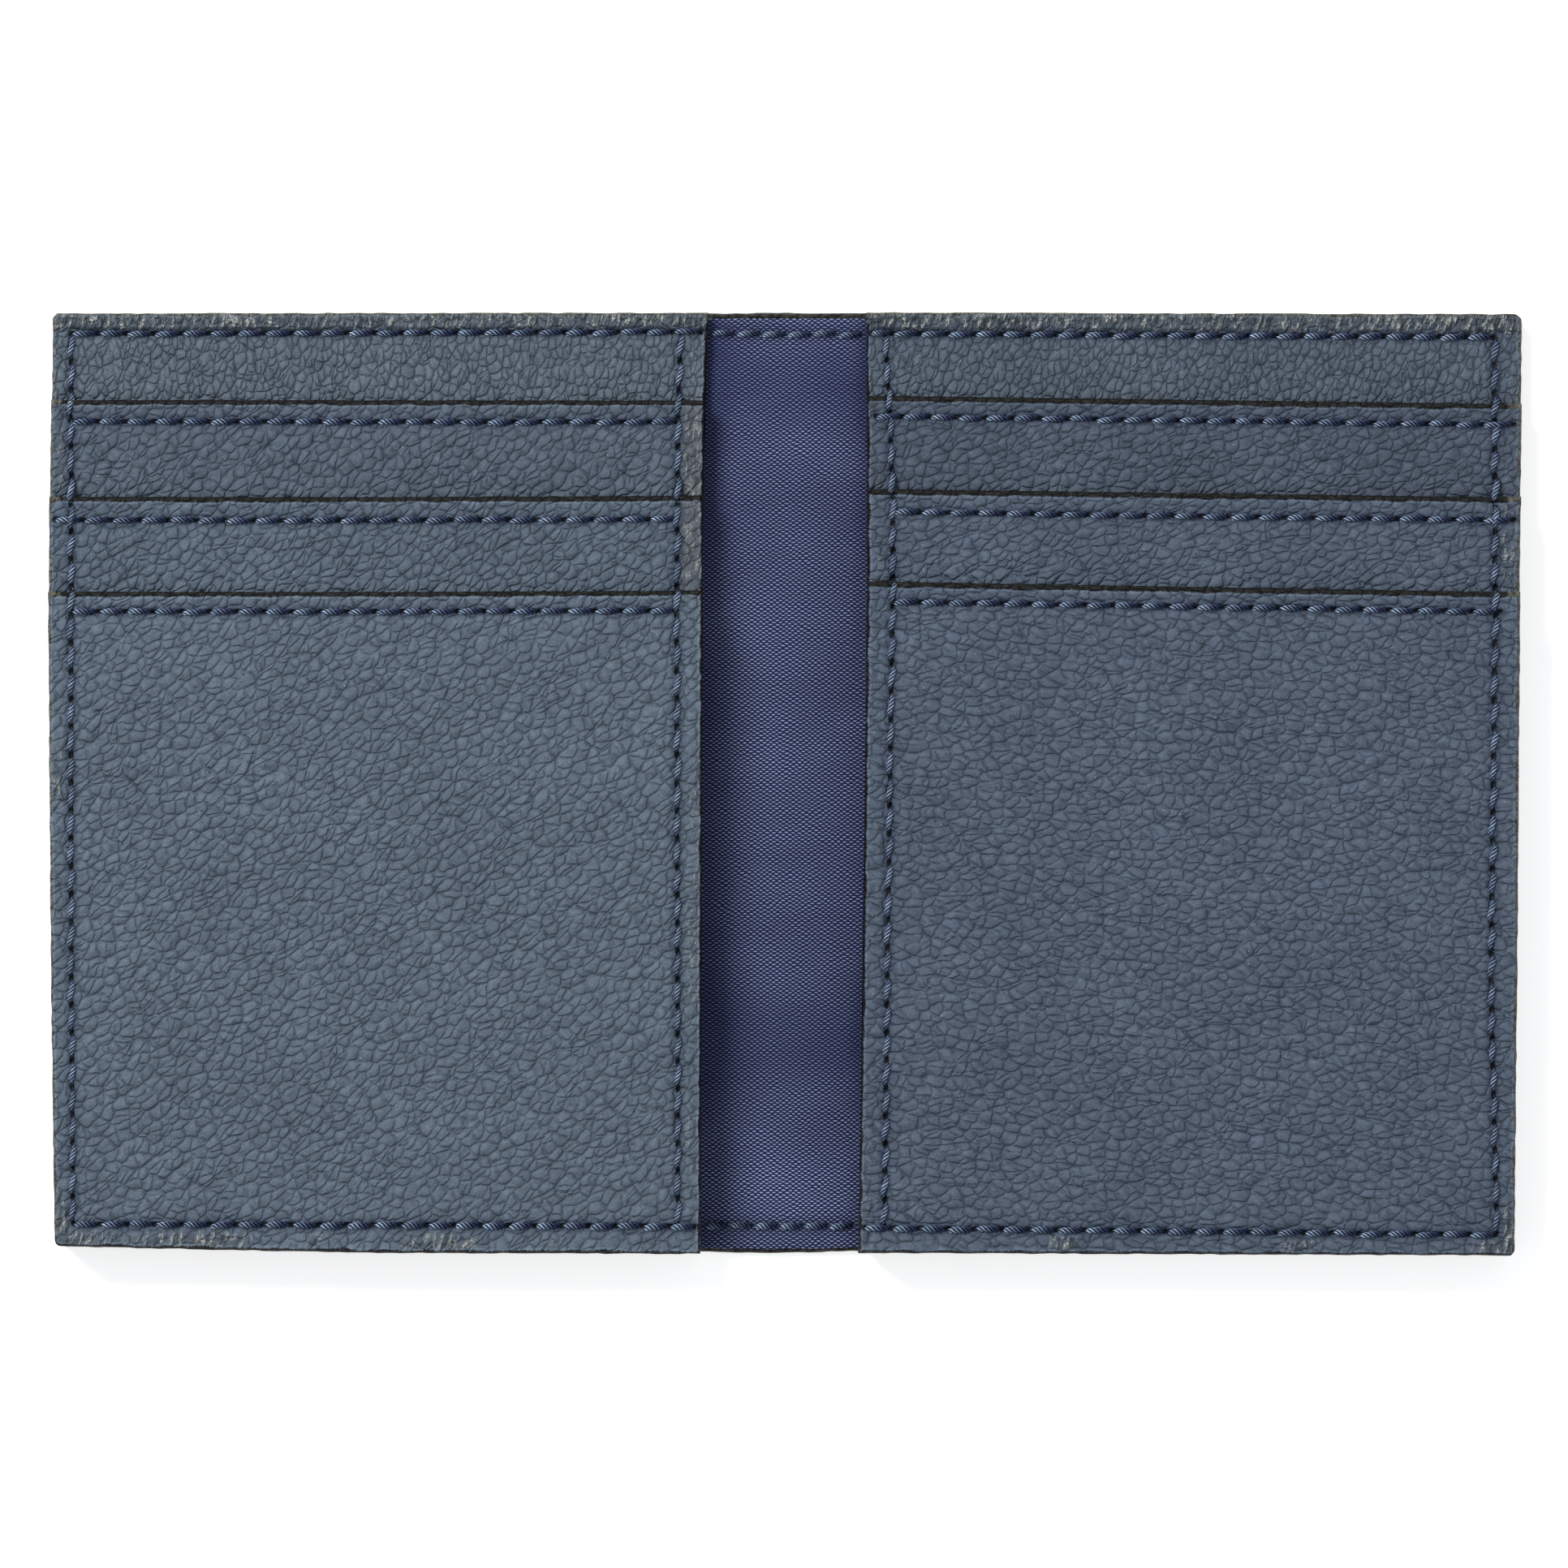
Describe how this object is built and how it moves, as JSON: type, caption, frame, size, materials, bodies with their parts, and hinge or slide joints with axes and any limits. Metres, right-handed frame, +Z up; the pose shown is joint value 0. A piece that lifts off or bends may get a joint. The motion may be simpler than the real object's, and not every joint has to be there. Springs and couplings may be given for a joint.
{
  "type": "bifold card holder",
  "caption": "Small vertical bifold leather card holder with stacked stitched card pockets on both inner halves and a woven lining across the fold.",
  "frame": {"origin": "middle of the underside of the open wallet, on the surface it lies on", "axes": "+X across the open wallet towards the right half, +Y towards the edge the pockets open to, +Z up out of the pocket faces"},
  "size_m": [0.156, 0.1, 0.0076],
  "materials": {
    "leather": "satin",
    "thread": "satin",
    "lining_cloth": "satin",
    "pocket_cloth": "matte",
    "board": "matte"
  },
  "bodies": {
    "right_half": {"right_cover_board": "board", "right_cover_lining": "lining_cloth", "right_edge_seam": "thread", "right_front_pocket": "leather", "right_inner_seam": "thread", "right_outer_cover": "leather", "right_panel_backing": "pocket_cloth", "right_slot_1_facing": "leather", "right_slot_1_lining": "pocket_cloth", "right_slot_1_topstitch": "thread", "right_slot_2_facing": "leather", "right_slot_2_lining": "pocket_cloth", "right_slot_2_topstitch": "thread", "right_slot_3_lining": "pocket_cloth", "right_slot_3_topstitch": "thread", "right_top_strip": "leather"},
    "spine": {"spine_edge_seam": "thread", "spine_lining": "lining_cloth", "spine_outer_cover": "leather"},
    "left_half": {"left_cover_board": "board", "left_cover_lining": "lining_cloth", "left_edge_seam": "thread", "left_front_pocket": "leather", "left_inner_seam": "thread", "left_outer_cover": "leather", "left_panel_backing": "pocket_cloth", "left_slot_1_facing": "leather", "left_slot_1_lining": "pocket_cloth", "left_slot_1_topstitch": "thread", "left_slot_2_facing": "leather", "left_slot_2_lining": "pocket_cloth", "left_slot_2_topstitch": "thread", "left_slot_3_lining": "pocket_cloth", "left_slot_3_topstitch": "thread", "left_top_strip": "leather"}
  },
  "joints": [
    {"name": "spine_fold", "type": "hinge", "parent": "right_half", "child": "spine", "pos_m": [0.0066, 0, 0.0012], "axis": [0, 1, 0], "range_deg": [0, 90]},
    {"name": "left_fold", "type": "hinge", "parent": "spine", "child": "left_half", "pos_m": [-0.0066, 0, 0.0012], "axis": [0, 1, 0], "range_deg": [0, 90]}
  ],
  "couplings": [
    {"joint": "left_fold", "follows": "spine_fold", "ratio": 1}
  ]
}
